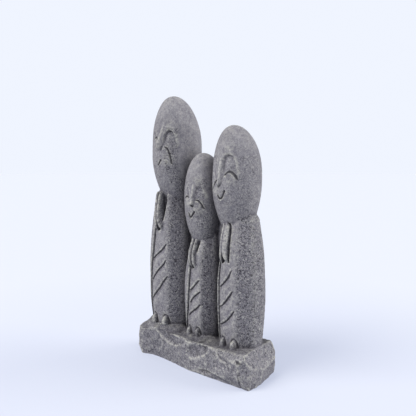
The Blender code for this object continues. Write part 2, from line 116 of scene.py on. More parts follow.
# Each figure's name, place and sizes in metres. web, how high it is joined to its left neighbour,
# and chin_drop, how far the head reaches below its centre, are shares of its height. jaw is how
# far the chin is drawn in and chin_lean how far its front hangs. left is the robe's left half
# against its right, taper and neck_back how much it falls back to the neck there and in front.
# mound is how high the rock stands up before it.
# A face mark or robe mark is a line of points in millimetres as seen from the front: across
# from the middle of the head or robe, and up from the head's middle or from the ground.
# A sleeve is where its top and tip lie across, its tip's height, its half-width, how proud it
# stands and how late it bends. gap is a height with the left and right side of what is cut out.
# eye_width, socket_depth and rim are in millimetres. shade darkens the side of the nose, and
# side_rough is how pitted the head's side is, up to 1.
Figure = namedtuple(
    "Figure",
    "name x height web head_width head_depth head_shift jaw chin_drop chin_lean robe_width"
    " robe_depth left taper neck_back mound feet sleeves gap slit notch line folds nose bridge"
    " socket socket_depth rim shade near_eye far_eye eye_width mouth side_rough",
)
TALL = Figure(
    "tall", x=-0.0975, height=0.517, web=0.0, head_width=0.105, head_depth=0.117,
    robe_width=0.108, robe_depth=0.108, head_shift=0.0075, jaw=0.36,
    chin_drop=0.262, chin_lean=0.18, feet=(-16, 17),
    sleeves=((-16, -7, 286, 5.6, 9.5, 1.5), (-5, 7.5, 290, 5.2, 12.0, 3)),
    gap=(
        (384, -2, 12.5), (374, -3, 13.8), (352, -4, 14.6),
        (330, -4, 12.4), (312, -2, 9.4), (294, 3, 6),
    ),
    slit=(), notch=((-5.5, 312), (2.5, 288.5), (-6.5, 286)), mound=0.013,
    left=1.0, taper=0.0, neck_back=0.0, side_rough=1.0,
    shade=0.8, socket_depth=4.4, rim=0.9, eye_width=1.15,
    line=((-18, 290), (-18.5, 272), (-22.5, 240), (-28, 200), (-33.5, 150), (-38, 84)),
    folds=(
        ((-22, 222), (-15, 227), (-1.4, 236), (9.6, 244), (16.6, 251), (21.6, 258)),
        ((-26, 174), (-13, 185), (-4, 195.5), (6, 204.7), (16.4, 213.7), (21.7, 223)),
        (
            (-28, 130), (-15.2, 141), (-5.3, 151), (5.2, 160.7),
            (11.8, 170.7), (20.6, 180.8), (25.7, 187),
        ),
    ),
    nose=((13, 52), (8, 38), (4.2, 24), (2.2, 7)),
    bridge=(
        (7.9, -0.5), (10.9, 5.8), (13.1, 16.4), (13.8, 27.1), (15.6, 34.5), (19.6, 39.5), (26, 41),
    ),
    socket=(
        (8.2, -2.5), (10.8, 5.8), (13.1, 16.4), (13.8, 27.1), (15.6, 34.5), (19.6, 39.5), (26, 41.5),
        (31.5, 39.6), (35.5, 33.2), (38.0, 24.7), (39.8, 9.8), (40.8, -5.1), (36, -20), (31, -12),
        (26, -3), (21, 4), (15, 5),
    ),
    near_eye=((17.0, 5.8), (22.1, 3.0), (26.0, -4.1), (28.6, -13.7), (30.1, -22.2), (30.5, -30)),
    far_eye=((-14.5, 24), (-10.5, 27.5), (-6.2, 27.3), (-2.5, 22.7)),
    mouth=((-1.0, -32.5), (1.2, -31.2), (3.4, -27.8), (7.4, -22.6)),
)
CHILD = Figure(
    "child", x=0.0, height=0.390, web=0.86, head_width=0.088, head_depth=0.098,
    robe_width=0.087, robe_depth=0.090, head_shift=-0.0015, jaw=0.12,
    chin_drop=0.283, chin_lean=0.26, feet=(-12.5, 11.5),
    sleeves=((-13, -8.5, 214, 4.4, 7.0, 1.5), (-1.0, 5.5, 215, 4.1, 9.0, 3)),
    gap=(
        (288, -1, 9), (280, -2, 9.8), (262, -2.5, 8.7),
        (249, -2, 7.6), (236, 0, 6.2), (229, 2.5, 4.2),
    ),
    slit=(), notch=((-4.5, 228), (2.0, 214), (-6, 212)), mound=0.006,
    left=1.0, taper=0.28, neck_back=0.25, side_rough=0.9,
    shade=1.7, socket_depth=1.3, rim=0.0, eye_width=1.15,
    line=(
        (-9.5, 219), (-11.3, 204.5), (-12.4, 183), (-14.3, 160), (-17, 130), (-21.5, 109), (-27, 80),
    ),
    folds=(
        ((-10, 166), (-5.4, 168), (2, 174.4), (8.9, 181.8), (17.6, 190)),
        ((-9.5, 139), (-4, 145.5), (3.6, 153.3), (13.2, 161.2), (20.3, 166)),
        ((-15, 110), (-8.4, 116.3), (1.1, 122.6), (12.7, 131.2), (20.1, 139)),
    ),
    nose=((7.0, 24), (6.2, 6), (5.6, -15)),
    bridge=(
        (3.8, -19.8), (7.6, -21.3), (10.8, -17.5), (12.2, -9), (12.9, 4), (14.2, 14.5), (17, 20),
    ),
    socket=(
        (11.8, -13), (12.6, -4), (13.3, 6), (14.6, 15), (18.5, 21.5), (24, 20), (29, 12), (32.5, 0),
        (33.5, -12), (31, -24), (27, -14), (21, -7.5), (15, -7),
    ),
    near_eye=((14.6, -8.6), (19.0, -8.6), (22.9, -13.3), (26.2, -19.1), (28.2, -25)),
    far_eye=((-18, -5.5), (-13.5, -1.2), (-8.5, -0.7), (-4.0, -3.6)),
    mouth=((-5.6, -35.0), (-4.0, -40.0), (-2.2, -46.2), (2.0, -42.0), (6.4, -38.0), (9.8, -32.6)),
)
SHORT = Figure(
    "short", x=0.0960, height=0.4435, web=0.67, head_width=0.098, head_depth=0.106,
    robe_width=0.096, robe_depth=0.095, head_shift=-0.0105, jaw=0.20,
    chin_drop=0.262, chin_lean=0.38, feet=(-11.5, 15.5),
    sleeves=((-17, -15, 234, 4.6, 6.5, 1.5), (-7.2, -2.4, 240, 8.5, 9.0, 3)),
    gap=(),
    slit=((-5, 316), (-0.5, 311), (1.2, 300), (1.8, 285), (2.8, 265), (3.2, 246), (3.0, 239)),
    notch=((-12.5, 257), (-5, 241), (-14.5, 234)), mound=0.002,
    left=0.87, taper=0.38, neck_back=0.10, side_rough=0.6,
    shade=0.8, socket_depth=3.6, rim=0.9, eye_width=2.2,
    line=((-24, 242), (-24.4, 220), (-24.4, 190), (-24, 165), (-25, 140), (-26, 120), (-27.5, 78)),
    folds=(
        ((-20, 187), (-11.1, 192.2), (-3.1, 200.5), (3.1, 207.4), (7.8, 214.9), (12.2, 223.8)),
        (
            (-21, 146.5), (-15.5, 147.7), (-8.1, 153.4), (-1.3, 160.7),
            (5.2, 168.9), (11.3, 175.9), (15.8, 183),
        ),
        (
            (-23, 108), (-15, 111.5), (-6.6, 116.8), (1.6, 122.7),
            (8.2, 130.2), (13.2, 136.2), (19, 144),
        ),
    ),
    nose=((0.5, 34), (-1.5, 20), (-2.6, 3), (-3.2, -13)),
    bridge=(
        (-4.2, -19.6), (0.6, -16.6), (4.4, -9.5), (5.6, 3.3),
        (4.9, 20), (5.2, 33), (9.5, 41.5), (17, 44),
    ),
    socket=(
        (5.4, -6), (5.8, 3.3), (5.0, 20), (5.4, 33), (9.5, 41.5), (17, 44), (25, 40), (30, 29),
        (33.4, 14), (34.5, -2), (31.5, -4), (27, 3.5), (20, 8.0), (13, 4.0),
    ),
    near_eye=(
        (11.2, 3.2), (15.2, 7.4), (19.8, 9.3), (24.2, 7.8), (27.6, 4.4), (30.5, 0.4), (32.0, -4.5),
    ),
    far_eye=((-10.5, -7.5), (-14.5, -11.5), (-18.8, -16.2), (-26, -26)),
    mouth=((-7.0, -35.5), (-5.8, -39.5), (-2.6, -43.4), (1.8, -42.6), (5.6, -37.5), (9.2, -28.2)),
)
FIGURES = (TALL, CHILD, SHORT)

# The studio
FLOOR_RADIUS = 60
FLOOR_PAINT = (0.30, 0.30, 0.30, 1)
FLOOR_GLOW = (0.285, 0.32, 0.445, 1)
FAR_GLOW = (0.32, 0.350, 0.425, 1)
SKY = (0.87, 0.91, 1.0, 1)
LAMP_COLOUR = (1.0, 0.985, 0.97)
# Each lamp's name, power, how wide it is in degrees and where it shines from
LAMPS = (("key", 3.0, 40, (-1.0, -2.2, 2.4)), ("side", 2.7, 45, (1.32, 1.37, 0.75)))
CAMERA_PLACE = (0.734, -0.778, 0.42)
CAMERA_TURN = (90 - 4.346, 0, 43.0 - 0.17)
SENSOR_WIDTH = 36
FOCAL_LENGTH = 500 * 36 / 416


# shaping

def ease(value, low, high):
    """Goes smoothly from 0 at low to 1 at high."""
    share = np.clip((value - low) / (high - low), 0.0, 1.0)
    return share * share * (3 - 2 * share)


def fullness(z, power):
    """What turns the ring of a round ball at height z into the ring of a fuller one."""
    z = min(abs(z), 0.9999)
    return (1 - z**power) ** (1 / power) / math.sqrt(1 - z * z)


def squareness(x, y, power):
    """What turns a point of a circle into one of a rounded square."""
    across = math.hypot(x, y)
    if across < 1e-9:
        return 1.0
    x, y = abs(x / across), abs(y / across)
    return (x**power + y**power) ** (-1 / power)


def side_flat(x, y, ring):
    """A ring's size in the direction of x and y once its front right side is dressed flat."""
    turn = math.radians(SIDE_FLAT_TURN)
    towards = (x * math.cos(turn) + y * math.sin(turn)) / max(math.hypot(x, y), 1e-9)
    if towards < 0.3:
        return ring
    flat = SIDE_FLAT / towards
    return (ring**-30 + flat**-30) ** (-1 / 30)


def robe_share(t):
    """Half-width of the robe at share t of its height, over its widest half-width."""
    widest = 0.42
    if t < widest:
        return 1 - 0.12 * ((widest - max(t, 0)) / widest) ** 1.8
    return 1 - 0.25 * ((min(t, 1) - widest) / (1 - widest)) ** 2


def up(figure, share):
    return ROCK_HEIGHT + share * figure.height


def robe_front(figure, z):
    """How far the robe's front stands before the figure's middle at height z."""
    t = (z - ROCK_HEIGHT) / (NECK * figure.height)
    fall = 1 - figure.neck_back * ease(t, 0.8, 1)
    return robe_share(t) * fall * figure.robe_depth / 2


def head_centre(figure):
    return Vector((figure.x + figure.head_shift, FIGURE_Y - 0.001, up(figure, HEAD_CENTRE)))


def nothing_selected():
    for obj in bpy.context.view_layer.objects:
        obj.select_set(False)


def new_ball(name, place, segments=48, rings=40):
    """A ball of stone pushed to its shape point by point."""
    nothing_selected()
    bpy.ops.mesh.primitive_uv_sphere_add(segments=segments, ring_count=rings, radius=1)
    ball = bpy.context.active_object
    ball.name = name
    for vert in ball.data.vertices:
        vert.co = place(*vert.co)
    return ball


def rough_head(figure):
    centre = head_centre(figure)

    def place(x, y, z):
        rise = HEAD_RISE if z > 0 else figure.chin_drop
        full = fullness(z, 2.06 if z > 0 else 2.25)
        deep = y * full * figure.head_depth / 2
        if deep < 0:
            deep *= 1 - figure.jaw * ease(-z, 0.1, 0.95)
        deep -= CROWN_LEAN * max(z, 0) ** 2 * figure.head_depth / 2
        lean = (CHIN_LEAN if y > 0 else figure.chin_lean) * (1 - z) / 2
        return centre + Vector((
            x * full * figure.head_width / 2, deep, z * rise * figure.height + lean * deep
        ))

    return new_ball(figure.name + "_head", place, 72, 64)


def rough_robe(figure):
    """The robe, with the gap behind the near sleeve cut out of it."""
    low = ROCK_HEIGHT / 2
    neck = up(figure, NECK)
    top = up(figure, NECK + 0.06)

    def place(x, y, z):
        height = low + (math.asin(max(-1, min(1, z))) / math.pi + 0.5) * (top - low)
        across = math.hypot(x, y)
        if across < 1e-6:
            return Vector((figure.x, FIGURE_Y, height))
        share = robe_share((height - ROCK_HEIGHT) / (neck - ROCK_HEIGHT)) / across
        if height > neck:
            share *= math.sqrt(max(0, 1 - ((height - neck) / (top - neck)) ** 2))
        share *= side_flat(x, y, squareness(x, y, 2.7 if y < 0 else 2.3))
        t = (height - ROCK_HEIGHT) / (neck - ROCK_HEIGHT)
        side = 1 if x > 0 else figure.left * (1 - figure.taper * ease(t, 0.5, 1))
        fall = 1 if y > 0 else 1 - figure.neck_back * ease(t, 0.8, 1)
        return Vector((
            figure.x + x * share * side * figure.robe_width / 2,
            FIGURE_Y + y * share * fall * figure.robe_depth / 2,
            height,
        ))

    robe = new_ball(figure.name + "_robe", place, 96, 96)
    if figure.gap:
        gap = rough_gap(figure)
        cut = robe.modifiers.new("gap", "BOOLEAN")
        cut.operation = "DIFFERENCE"
        cut.solver = "EXACT"
        cut.object = gap
        apply_all(robe)
        bpy.data.objects.remove(gap)
    return robe


def rough_gap(figure):
    """What is cut out between the near sleeve and the side: tall, narrow and pointed below."""
    heights, lefts, rights = zip(*figure.gap[::-1])

    def place(x, y, z):
        height = (heights[0] + heights[-1]) / 2 + z * (heights[-1] - heights[0]) / 2
        left, right = np.interp(height, heights, lefts), np.interp(height, heights, rights)
        front = robe_front(figure, height / 1000) * 1000
        return Vector((
            figure.x + ((left + right) / 2 + x * fullness(z, 3.5) * (right - left) / 2) / 1000,
            FIGURE_Y + (-front - 1 + y * fullness(z, 2.6) * GAP_DEPTH) / 1000,
            height / 1000,
        ))

    return new_ball(figure.name + "_gap", place, 32, 48)


def rough_sleeve(figure, across, tip_across, tip, half_width, proud, bend):
    """One long drop of sleeve, thickest just above its tip."""
    high = up(figure, NECK + 0.03)
    low = tip / 1000

    def place(x, y, z):
        height = (high + low) / 2 + z * (high - low) / 2
        full = fullness(z, 2.8) * (1 - 0.20 * z)
        middle = across + (tip_across - across) * ((1 - z) / 2) ** bend
        return Vector((
            figure.x + (middle + x * full * half_width) / 1000,
            FIGURE_Y - robe_front(figure, height) + 0.002 + y * full * proud / 1000,
            height,
        ))

    return new_ball(figure.name + "_sleeve", place, 28, 48)


def rough_foot(figure, across):
    """The toes of one foot, peeping out below the hem."""
    width = figure.robe_width
    centre = Vector((
        figure.x + across / 1000,
        FIGURE_Y - robe_front(figure, ROCK_HEIGHT) - 0.012 * width,
        ROCK_HEIGHT + figure.mound + 0.050 * width,
    ))

    def place(x, y, z):
        return centre + Vector((x * 0.064, y * 0.085, z * 0.115)) * width

    return new_ball(figure.name + "_foot", place, 24, 20)


def rough_web(left, right):
    """The stone left between two neighbours, from the rock up to where their heads touch."""
    low, high = ROCK_HEIGHT / 2, up(right, right.web)
    middle = (left.x + left.robe_width / 2 + right.x - right.left * right.robe_width / 2) / 2

    def place(x, y, z):
        full = fullness(z, 5)
        return Vector((
            middle + x * full * WEB_HALF_WIDTH,
            FIGURE_Y + WEB_SET_BACK + y * full * WEB_HALF_DEPTH,
            (low + high) / 2 + z * (high - low) / 2,
        ))

    return new_ball("web_beside_" + right.name, place, 24, 40)


def rock_top(x, y):
    """Height of the rock's rough upper side, higher round the tall figure."""
    length = ROCK_RIGHT - ROCK_LEFT
    rise = ROCK_RISE * ease(-x, 0.25 * length, 0.48 * length) * ease(y, -0.3 * ROCK_DEPTH, 0)
    fall = ROCK_FALL * ease(-x, 0.2 * length, 0.42 * length)
    fall *= ease(-y, 0.3 * ROCK_DEPTH, 0.5 * ROCK_DEPTH)
    for figure in FIGURES:
        out = math.hypot((x - figure.x) / figure.robe_width, (y - FIGURE_Y) / figure.robe_depth) * 2
        rise = max(rise, figure.mound * (1 - ease(out, 1.0, 1.35)) * ease(-y, 0, 0.2 * ROCK_DEPTH))
    return ROCK_HEIGHT + rise - fall


def rock_front(x, share):
    """How far the rock's front juts out at x: out at the right, cut back low down at the left."""
    length = ROCK_RIGHT - ROCK_LEFT
    out = 0.055 * ROCK_DEPTH * ease(x, 0.1 * length, 0.43 * length)
    back = 0.09 * ROCK_DEPTH * ease(-x, -0.06 * length, 0.28 * length)
    back *= 1 - ease(-x, 0.36 * length, 0.46 * length)
    return out - (1 - share) * back


def rough_rock():
    """The rough block below, with its edges and corners knocked off at odd angles."""
    nothing_selected()
    bpy.ops.mesh.primitive_cube_add(size=1)
    rock = bpy.context.active_object
    rock.name = "rock"
    bpy.ops.object.mode_set(mode="EDIT")
    bpy.ops.mesh.select_all(action="SELECT")
    bpy.ops.mesh.subdivide(number_cuts=31)
    bpy.ops.object.mode_set(mode="OBJECT")
    length = ROCK_RIGHT - ROCK_LEFT
    for vert in rock.data.vertices:
        side, across, share = 2 * vert.co.x, 2 * vert.co.y, vert.co.z + 0.5
        x, y = side * length / 2, across * ROCK_DEPTH / 2
        belly = 1 - (2 * share - 1) ** 2
        bulge = LEFT_BELLY if side < 0 else RIGHT_BELLY
        x += bulge * belly * math.copysign(1, side) * abs(side) ** 6
        y -= rock_front(x, share) * max(0, -across)
        vert.co = Vector((x, y, -GROUND_SPARE + share * (rock_top(x, y) + GROUND_SPARE)))
    half_length, half_depth = length / 2, ROCK_DEPTH / 2
    # Where each knock passes, and the way it faces
    knocks = (
        ((half_length - 0.016, -half_depth - 0.0065, 0.03), (0.9, -1, 0.05)),
        ((half_length, half_depth - 0.022, 0.02), (1, 0.8, 0.0)),
        ((half_length + 0.001, 0.004, 0.033), (1, 0.25, -0.20)),
        ((-half_length - 0.006, -half_depth + 0.010, 0.03), (-1, -0.9, 0.1)),
        ((-half_length + 0.03, half_depth, 0.03), (-0.6, 1, 0.2)),
        ((-half_length + 0.002, 0, ROCK_HEIGHT + 0.008), (-1, 0.2, 0.8)),
        ((-half_length - 0.001, 0, 0.012), (-1, -0.1, -0.7)),
        ((half_length - 0.027, half_depth - 0.008, ROCK_HEIGHT), (1, 0.15, 0.58)),
        ((half_length + 0.001, 0, 0.008), (1, 0.1, -0.5)),
        ((-0.37 * half_length, -half_depth + 0.003, ROCK_HEIGHT + 0.009), (-0.10, -0.9, 1)),
        ((0.47 * half_length, -half_depth + 0.001, ROCK_HEIGHT), (0.06, -1, 0.8)),
        ((0.59 * half_length, -half_depth - 0.004, 0.014), (0.03, -1, -0.55)),
        ((0, half_depth - 0.003, ROCK_HEIGHT), (0, 1, 0.8)),
    )
    bpy.ops.object.mode_set(mode="EDIT")
    for point, facing in knocks:
        bpy.ops.mesh.select_all(action="SELECT")
        bpy.ops.mesh.bisect(plane_co=point, plane_no=facing, use_fill=True, clear_outer=True)
    bpy.ops.object.mode_set(mode="OBJECT")
    return rock


def apply_all(obj):
    bpy.context.view_layer.objects.active = obj
    for modifier in list(obj.modifiers):
        bpy.ops.object.modifier_apply(modifier=modifier.name)


def blank_statue():
    """All rough shapes, joined and fused to one skin."""
    pieces = [rough_rock()]
    for figure in FIGURES:
        pieces += [rough_head(figure), rough_robe(figure)]
        pieces += [rough_sleeve(figure, *sleeve) for sleeve in figure.sleeves]
        pieces += [rough_foot(figure, across) for across in figure.feet]
    pieces += [rough_web(left, right) for left, right in zip(FIGURES, FIGURES[1:])]
    nothing_selected()
    for piece in pieces:
        piece.select_set(True)
    bpy.context.view_layer.objects.active = pieces[0]
    bpy.ops.object.join()
    statue = bpy.context.active_object
    statue.name = "jizo_statue"
    fuse = statue.modifiers.new("fuse", "REMESH")
    fuse.mode = "VOXEL"
    fuse.voxel_size = GRAIN
    soften = statue.modifiers.new("soften", "SMOOTH")
    soften.factor = 0.5
    soften.iterations = 2
    apply_all(statue)
    return statue


# carving

def path_distance(x, z, path):
    """Distance in the front view from each point to a bent line, and how far along it is."""
    best = np.full(len(x), np.inf)
    along = np.zeros(len(x))
    for index in range(len(path) - 1):
        (ax, az), (bx, bz) = path[index], path[index + 1]
        dx, dz = bx - ax, bz - az
        share = np.clip(((x - ax) * dx + (z - az) * dz) / (dx * dx + dz * dz), 0, 1)
        gap = np.hypot(x - ax - share * dx, z - az - share * dz)
        closer = gap < best
        best = np.where(closer, gap, best)
        along = np.where(closer, (index + share) / (len(path) - 1), along)
    return best, along


def rounded(path, rounds=3):
    """The bent line with its corners cut, end points kept."""
    for _ in range(rounds):
        cut = [path[0]]
        for (ax, az), (bx, bz) in zip(path, path[1:]):
            cut.append((0.75 * ax + 0.25 * bx, 0.75 * az + 0.25 * bz))
            cut.append((0.25 * ax + 0.75 * bx, 0.25 * az + 0.75 * bz))
        path = cut + [path[-1]]
    return path


def inside(x, z, ring):
    """Whether each point lies inside a closed ring of points."""
    within = np.zeros(len(x), bool)
    for (ax, az), (bx, bz) in zip(ring, ring[1:] + ring[:1]):
        if az != bz:
            crosses = (az > z) != (bz > z)
            within ^= crosses & (x < (bx - ax) * (z - az) / (bz - az) + ax)
    return within


def soft(gap, width):
    """1 on a line, fading softly over about width."""
    return np.exp(-((gap / width) ** 2))


def vee(gap, half_width):
    """1 on a line, falling straight to nothing at half_width."""
    return np.clip(1 - gap / half_width, 0, 1)


def moved(path, across, up_by):
    return [(px + across, pz + up_by) for px, pz in path]


def step(x, z, path, depth, run, sharp=0.7):
    """A lapped edge: full depth just below the line, running out to nothing further down."""
    gap, _ = path_distance(x, z, path)
    line_z = np.interp(x, [p[0] for p in path], [p[1] for p in path])
    signed = np.where(z < line_z, gap, -gap)
    start, end = path[0][0], path[-1][0]
    ends = ease(x, start - 1.0, start + 1.0) * (1 - ease(x, end - 7.0, end + 1.0))
    return depth * ends * ease(signed, -sharp, sharp) * (1 - ease(signed, sharp, run))


def hollow(x, z, ring, steep, depth, wall, reach):
    """A leaf-shaped hollow: a wall along its steep side, running out softly to the other."""
    edge, _ = path_distance(x, z, ring + ring[:1])
    within = np.where(inside(x, z, ring), edge, -edge)
    gap, _ = path_distance(x, z, steep)
    return depth * (0.30 + 0.70 * soft(gap, reach)) * ease(within, -0.6, wall)


class Marks:
    """What carving does at each point: how many millimetres it cuts in, the shade painted dark
    into the cuts and creases, and the highlights painted pale."""

    def __init__(self, count):
        self.cut = np.zeros(count)
        self.painted_shade = np.zeros(count)
        self.pale = np.zeros(count)

    def paint_shade(self, amount):
        self.painted_shade = np.maximum(self.painted_shade, amount)

    def paint_highlight(self, amount):
        self.pale = np.maximum(self.pale, amount)

    def take(self, where, other, share=1):
        """Takes over the painted shade and painted highlights of other, which holds only the points
        where.
        """
        self.painted_shade[where] = np.maximum(self.painted_shade[where], other.painted_shade * share)
        self.pale[where] = np.maximum(self.pale[where], other.pale * share)


def carve_sockets(figure, x, z, marks):
    """The hollow between nose and brow, with shade painted dark in a hook by the nose
    and a rim further out with a painted highlight.
    """
    socket = rounded(figure.socket, 1)
    bridge = rounded(figure.bridge, 2)
    eye_z = figure.near_eye[0][1]
    deep = hollow(x, z, socket, bridge, figure.socket_depth, 3.0, 9.0)
    marks.cut += deep * (0.25 + 0.75 * ease(z, eye_z - 3, eye_z + 17))
    gap, along = path_distance(x, z, bridge)
    hook = 1 - ease(along, 0.12, 0.32)
    # Shade painted dark in the hook beside the nose
    marks.paint_shade(figure.shade * (0.35 + 0.65 * hook) * soft(gap, 2.2))
    marks.cut += (0.5 + 1.6 * hook * figure.shade) * soft(gap, 1.7)
    edge, _ = path_distance(x, z, socket + socket[:1])
    rim = ease(gap, 5, 13) * ease(z, eye_z - 4, eye_z + 6) * soft(edge, 2.4)
    marks.cut -= figure.rim * rim
    # A highlight painted pale on the rim, where it faces the light
    marks.paint_highlight(0.9 * rim)
    mirror = 2 * figure.nose[2][0]
    far_ring = [(mirror - px, pz) for px, pz in socket]
    far_bridge = [(mirror - px, pz) for px, pz in bridge]
    marks.cut += hollow(x, z, far_ring, far_bridge, 2.0, 4.0, 9.0)


def carve_eye(x, z, eye, side, eye_width, marks):
    """The line of a closed eye with shade painted dark into it, with its lid, over a cheek
    that swells a little. The lid and cheek get painted highlights.
    """
    bow = rounded(eye, 2)
    middle = bow[len(bow) // 2]
    spot = np.hypot((x - middle[0] + 5 * side) / 12, (z - middle[1] + 13) / 13)
    swell = soft(spot, 1)
    marks.cut -= 1.6 * swell
    # A highlight painted pale on the swelling cheek
    marks.paint_highlight(0.7 * swell)
    gap, along = path_distance(x, z, bow)
    width = eye_width * (0.65 + 0.7 * along * (1 - along) * 2)
    line = vee(gap, width + 0.7)
    marks.cut += 3.0 * line
    # Shade painted dark in the eye's line
    marks.paint_shade(np.clip(2.2 * line, 0, 1))
    gap, _ = path_distance(x, z, moved(bow, -0.8 * side, -2.6))
    lid = soft(gap, 1.8)
    marks.cut -= 0.5 * lid
    # A highlight painted pale on the lid
    marks.paint_highlight(0.5 * lid)


def carve_face(figure, x, z):
    """Marks of the face at front-view points in millimetres."""
    marks = Marks(len(x))
    carve_sockets(figure, x, z, marks)
    gap, along = path_distance(x, z, rounded(figure.nose))
    ridge = soft(gap, 2.6 + 1.8 * along)
    marks.cut -= (0.8 + 4.2 * along**1.5) * ridge
    # A highlight painted pale on the nose's lower end
    marks.paint_highlight(0.8 * ridge * ease(along, 0.5, 0.9))
    carve_eye(x, z, figure.near_eye, 1, figure.eye_width, marks)
    carve_eye(x, z, figure.far_eye, -1, figure.eye_width, marks)
    lips = rounded(figure.mouth, 2)
    gap, along = path_distance(x, z, lips)
    line = vee(gap, 1.5 + 1.4 * along)
    marks.cut += 3.4 * line
    # Shade painted dark in the mouth's line
    marks.paint_shade(np.clip(2.2 * line, 0, 1))
    gap, _ = path_distance(x, z, moved(lips, -0.8, -4.2))
    lip = soft(gap, 1.9)
    marks.cut -= 1.1 * lip
    # A highlight painted pale on the lower lip
    marks.paint_highlight(0.9 * lip)
    # The brow over the near eye, with a highlight painted pale on it
    top = max(figure.socket, key=lambda point: point[1])
    spot = np.hypot((x - top[0] + 2) / 13, (z - top[1] - 12) / 11)
    marks.paint_highlight(0.6 * soft(spot, 1))
    return marks


def carve_robe(figure, x, z):
    """Marks of the robe at front-view points in millimetres."""
    marks = Marks(len(x))
    line = rounded(figure.line, 2)
    line_x = np.interp(-z, [-p[1] for p in line], [p[0] for p in line])
    right = x - line_x
    low, high = line[-1][1], line[0][1]
    stretch = ease(z, low - 4, low + 2) * (1 - ease(z, high - 2, high + 3))
    # The left lap stands proud; the front panel starts deep beside it and rises to the right
    marks.cut += stretch * 3.0 * ease(right, -0.7, 0.7) * (1 - ease(right, 0.7, 20.0))
    marks.cut += stretch * 2.0 * vee(np.abs(right - 0.9), 1.8)
    marks.cut -= stretch * 1.0 * soft(right + 3.0, 2.0)
    # Shade painted dark along the left lap's edge
    marks.paint_shade(stretch * np.clip(1.5 - np.abs(right - 1.0) / 1.1, 0, 1))
    for fold in figure.folds:
        path = rounded(fold, 2)
        marks.cut += step(x, z, path, 2.2, 14.0)
        gap, along = path_distance(x, z, path)
        trough = vee(gap, 1.5 + 0.5 * along) * ease(1 - along, -0.02, 0.10)
        marks.cut += 1.7 * trough
        # Shade painted dark in the trough under each fold's edge
        marks.paint_shade(np.clip(1.35 * trough, 0, 1))
        gap, _ = path_distance(x, z, moved(path, -1.4, 2.4))
        marks.cut -= 0.6 * soft(gap, 1.7)
    if figure.slit:
        gap, _ = path_distance(x, z, rounded(figure.slit, 2))
        slit = vee(gap, 2.0)
        marks.cut += 6.0 * slit**0.7
        # Shade painted dark in the slit
        marks.paint_shade(np.clip(1.6 * slit, 0, 1))
    edge, _ = path_distance(x, z, figure.notch + figure.notch[:1])
    within = np.where(inside(x, z, figure.notch), edge, -edge)
    marks.cut += 5.0 * ease(within, -0.7, 1.2)
    # Shade painted dark in the notch under the sleeve tips
    marks.paint_shade(ease(within, -1.0, 0.8))
    # The hem arches over each foot
    for middle in figure.feet:
        half = 0.078 * figure.robe_width * 1000
        low = 1000 * (ROCK_HEIGHT + figure.mound)
        high = low + 0.19 * figure.robe_width * 1000
        top_half = 0.6 * half
        arch = (
            (middle - half, low), (middle - top_half, high),
            (middle + top_half, high), (middle + half, low),
        )
        gap, _ = path_distance(x, z, rounded(arch))
        trough = vee(gap, 2.2) * (z > low - 2)
        marks.cut += 2.0 * trough
        # Shade painted dark in the hem's arch
        marks.paint_shade(np.clip(1.2 * trough, 0, 1))
    return marks


def dish(x, z, middle, half, roll, depth, open_side):
    """A scoop struck out of the front, running out towards one side, and its crisp rim."""
    turn = math.radians(roll)
    across, up_by = x - middle[0], z - middle[1]
    u = (across * math.cos(turn) + up_by * math.sin(turn)) / half[0]
    v = (up_by * math.cos(turn) - across * math.sin(turn)) / half[1]
    inner = np.clip(1 - u * u - v * v, 0, 1)
    toward = math.radians(open_side)
    lean = np.clip(0.55 - 0.55 * (u * math.cos(toward) + v * math.sin(toward)), 0, 1)
    size = min(half)
    rim = np.exp(-(((np.hypot(u, v) - 1.0) * size / 1.5) ** 2)) * ease(lean, 0.35, 0.75)
    return depth * inner**0.7 * lean, rim


def rock_blows():
    """Where blows took broad flakes off the rock: places in millimetres, depth, how open each is."""
    dice = random.Random(11)
    half_length, half_depth = (ROCK_RIGHT - ROCK_LEFT) * 500, ROCK_DEPTH * 500
    found = []
    for _ in range(46):
        x = dice.uniform(-half_length - 6, half_length + 4)
        y = dice.uniform(-half_depth - 4, half_depth + 4)
        z = dice.uniform(6, 70)
        face = dice.random()
        if face < 0.30:
            y = -half_depth - 4
        elif face < 0.55:
            y = half_depth + 1
        elif face < 0.70:
            x = -half_length - 6
        elif face < 0.85:
            x = half_length + 2
        else:
            z = 70
        found.append(((x, y, z), dice.uniform(0.8, 2.6), dice.uniform(50, 150)))
    return found


